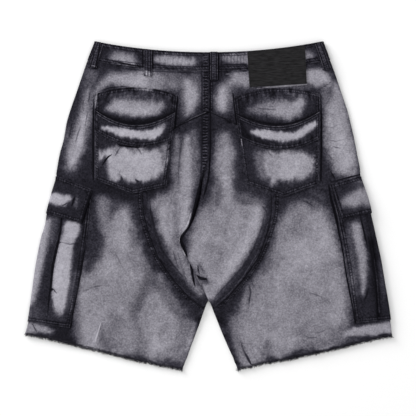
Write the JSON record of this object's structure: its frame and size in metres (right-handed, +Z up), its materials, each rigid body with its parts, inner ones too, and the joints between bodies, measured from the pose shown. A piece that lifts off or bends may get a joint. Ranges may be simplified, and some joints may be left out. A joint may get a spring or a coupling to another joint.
{
  "type": "denim cargo shorts",
  "caption": "Washed-black denim cargo shorts laid flat, back up: wide straight legs, curved seat seam folded over, pointed back pockets with scooped tops, flapped cargo pockets and raw hems.",
  "frame": {"origin": "on the surface the shorts rest on, below the middle of their box as they lie flat", "axes": "+X across the shorts to the wearer's right, +Y to the waistband, +Z up, out through the back of the shorts"},
  "size_m": [0.642, 0.5776, 0.0162],
  "materials": {
    "denim": "washed black denim, worn light over the middles of the panels, matt",
    "dark_denim": "washed black denim with little wear, matt",
    "black_leather": "plain black, soft satin",
    "dark_metal": "dark burnished metal"
  },
  "bodies": {
    "root": {"back_leg_left": "denim", "back_leg_right": "denim", "back_inset_left": "denim", "back_inset_right": "denim", "front_leg_left": "denim", "front_leg_right": "denim", "pocket_backing_left": "denim", "pocket_backing_right": "denim", "pocket_front_left": "denim", "pocket_front_right": "denim", "pocket_band_left": "denim", "pocket_band_right": "denim", "cargo_pocket_left": "denim", "cargo_pocket_right": "denim", "waistband": "dark_denim", "fly_flap": "dark_denim", "belt_loop_back_left": "dark_denim", "belt_loop_centre": "dark_denim", "belt_loop_side_left": "dark_denim", "belt_loop_side_right": "dark_denim", "belt_loop_front_left": "dark_denim", "belt_loop_front_right": "dark_denim", "cargo_flap_left": "dark_denim", "cargo_flap_right": "dark_denim", "patch": "black_leather", "button": "dark_metal"}
  },
  "joints": []
}
